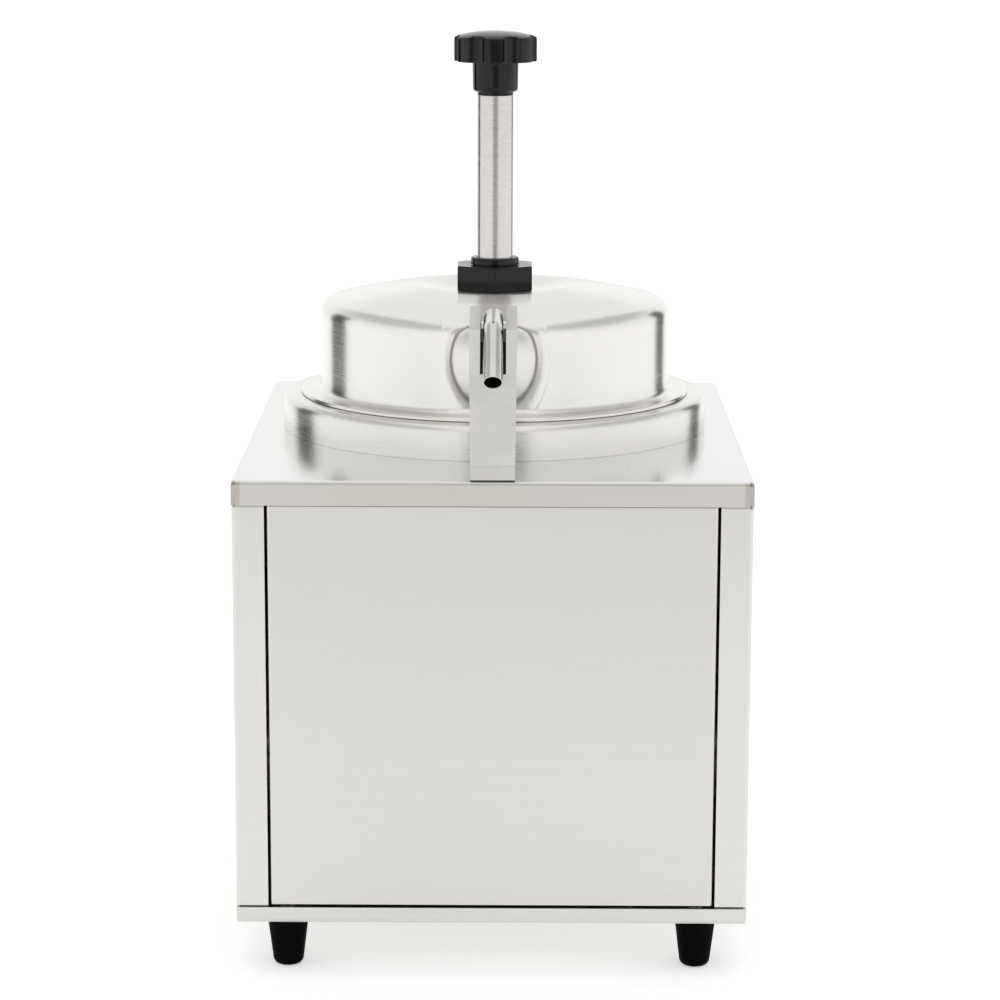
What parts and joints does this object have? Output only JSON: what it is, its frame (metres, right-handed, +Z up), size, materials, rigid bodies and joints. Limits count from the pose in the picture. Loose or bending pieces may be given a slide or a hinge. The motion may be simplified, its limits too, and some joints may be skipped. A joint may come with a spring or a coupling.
{
  "type": "hot fudge topping warmer",
  "caption": "Countertop hot fudge warmer: square steel cabinet with a heated water well, lift-out jar, domed lid with a hand pump, and a heated cradle under the spout.",
  "frame": {"origin": "centre of the overall footprint, on the surface that the feet stand on", "axes": "+Z up, -Y towards the spout and the user, +X to the right of someone facing the front"},
  "size_m": [0.2286, 0.2968, 0.4148],
  "materials": {
    "cabinet_steel": "satin brushed stainless sheet",
    "deck_steel": "satin stainless sheet, a little brighter than the panels",
    "spun_steel": "spun stainless with fine rings of brushing",
    "pump_steel": "polished stainless",
    "cradle_aluminium": "satin aluminium casting, machined faces",
    "black_plastic": "black moulded plastic with a soft gloss",
    "white_plastic": "plain moulded plastic",
    "black_rubber": "moulded black rubber",
    "seal_rubber": "smooth seal rubber",
    "screw_steel": "bright plated steel",
    "heater_steel": "dull heat-coloured steel",
    "dial_metal": "satin aluminium plate with printed numbers",
    "amber_lens": "clear amber moulded lens"
  },
  "bodies": {
    "cabinet": {"base_pan": "cabinet_steel", "feet": "black_rubber", "foot_screws": "screw_steel", "left_side_panel": "cabinet_steel", "right_side_panel": "cabinet_steel", "top_cover": "deck_steel", "front_panel": "cabinet_steel", "rear_panel": "cabinet_steel", "rear_panel_screws": "screw_steel", "well_gasket": "seal_rubber", "water_well": "spun_steel", "well_collar": "spun_steel", "well_heater": "heater_steel", "heater_clamp_plate": "heater_steel", "heater_clamp_nuts": "screw_steel", "high_limit_cutout": "heater_steel", "thermostat_body": "white_plastic", "thermostat_bulb": "heater_steel", "bulb_clips": "heater_steel", "dial_plate": "dial_metal", "power_switch_body": "black_plastic", "pilot_lamp_body": "black_plastic", "pilot_lamp_lens": "amber_lens", "cable_inlet": "black_plastic", "cable_inlet_nut": "black_plastic", "terminal_block": "white_plastic", "spout_cradle": "cradle_aluminium", "cradle_gasket": "seal_rubber", "cradle_heater": "heater_steel", "cradle_screws": "screw_steel"},
    "jar": {"jar": "spun_steel"},
    "lid": {"lid": "spun_steel", "pump_gasket": "seal_rubber", "pump_barrel": "pump_steel", "lock_nut": "black_plastic", "plunger_bushing": "black_plastic", "valve_body": "pump_steel", "ball_stop_pins": "pump_steel", "union_nut": "pump_steel", "discharge_tube": "pump_steel", "tube_grommet": "seal_rubber", "pump_spring": "pump_steel"},
    "plunger": {"plunger_tube": "pump_steel", "knob_washer": "black_plastic", "pump_knob": "black_plastic", "piston": "white_plastic", "piston_seal": "seal_rubber", "piston_screw": "pump_steel"},
    "inlet_ball": {"inlet_ball": "pump_steel"},
    "outlet_ball": {"outlet_ball": "pump_steel"},
    "thermostat_knob": {"thermostat_knob": "black_plastic"},
    "power_rocker": {"power_rocker": "black_plastic"}
  },
  "joints": [
    {"name": "jar_lift", "type": "slide", "parent": "cabinet", "child": "jar", "axis": [0, 0, 1], "range_m": [0, 0.2]},
    {"name": "lid_lift", "type": "slide", "parent": "jar", "child": "lid", "axis": [0, 0, 1], "range_m": [0, 0.18]},
    {"name": "plunger_stroke", "type": "slide", "parent": "lid", "child": "plunger", "axis": [0, 0, -1], "range_m": [0, 0.06], "stiffness_N_per_m": 180, "springref_m": -0.03, "deforming": ["pump_spring"]},
    {"name": "inlet_ball_lift", "type": "slide", "parent": "lid", "child": "inlet_ball", "axis": [0, 0, 1], "range_m": [0, 0.004]},
    {"name": "outlet_ball_lift", "type": "slide", "parent": "lid", "child": "outlet_ball", "axis": [0, 0, 1], "range_m": [0, 0.003]},
    {"name": "thermostat_turn", "type": "hinge", "parent": "cabinet", "child": "thermostat_knob", "pos_m": [0.052, 0.13498, 0.1356], "axis": [0, -1, 0], "range_deg": [0, 270]},
    {"name": "rocker_tip", "type": "hinge", "parent": "cabinet", "child": "power_rocker", "pos_m": [-0.006, 0.13498, 0.1356], "axis": [0, 0, -1], "range_deg": [0, 16]}
  ]
}
